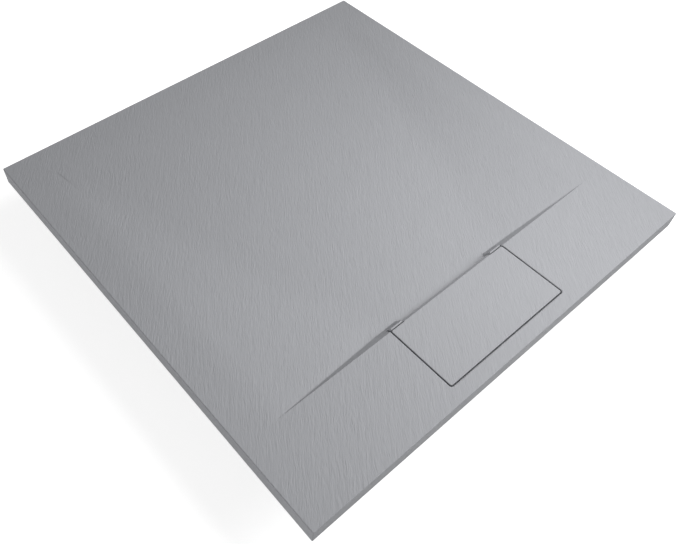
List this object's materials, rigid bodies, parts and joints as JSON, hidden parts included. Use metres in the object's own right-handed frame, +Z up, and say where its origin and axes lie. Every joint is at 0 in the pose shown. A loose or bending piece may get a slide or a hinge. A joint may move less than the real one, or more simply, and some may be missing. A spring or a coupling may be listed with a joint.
{
  "type": "shower tray",
  "caption": "Slim square shower tray in textured grey stone-effect moulding, sloping to a flush removable drain cover along its front edge, with a low trap below.",
  "frame": {"origin": "centre of the tray's underside, on the crossing of its two middle ribs", "axes": "+Z up out of the tray, +Y from the drain strip at the front to the rear, +X to the right seen from the drain strip"},
  "size_m": [0.9, 0.9, 0.128],
  "materials": {
    "tray_slate": "matte",
    "cover_slate": "matte",
    "rubber": "matte",
    "steel": "satin",
    "brass": "satin",
    "trap_plastic": "satin",
    "nut_plastic": "satin",
    "white_plastic": "satin",
    "pipe_plastic": "satin",
    "knob_plastic": "matte"
  },
  "bodies": {
    "tray": {"tray_body": "tray_slate", "flange_ring": "steel", "flange_gasket": "rubber", "flange_screws": "steel", "screw_inserts": "brass", "trap_gasket": "rubber", "trap_body": "trap_plastic", "outlet_seal": "rubber", "outlet_slip_ring": "white_plastic", "outlet_nut": "nut_plastic", "waste_pipe": "pipe_plastic"},
    "cover": {"drain_cover": "cover_slate", "cover_pads": "rubber"},
    "dip_insert": {"dip_tube": "white_plastic", "insert_seal": "rubber"},
    "strainer": {"hair_strainer": "steel", "strainer_knob": "knob_plastic", "knob_screw": "steel"}
  },
  "joints": [
    {"name": "cover_lift", "type": "slide", "parent": "tray", "child": "cover", "axis": [0, 0, 1], "range_m": [0, 0.15]},
    {"name": "insert_lift", "type": "slide", "parent": "tray", "child": "dip_insert", "axis": [0, 0, 1], "range_m": [0, 0.008]},
    {"name": "strainer_lift", "type": "slide", "parent": "dip_insert", "child": "strainer", "axis": [0, 0, 1], "range_m": [0, 0.006]}
  ]
}
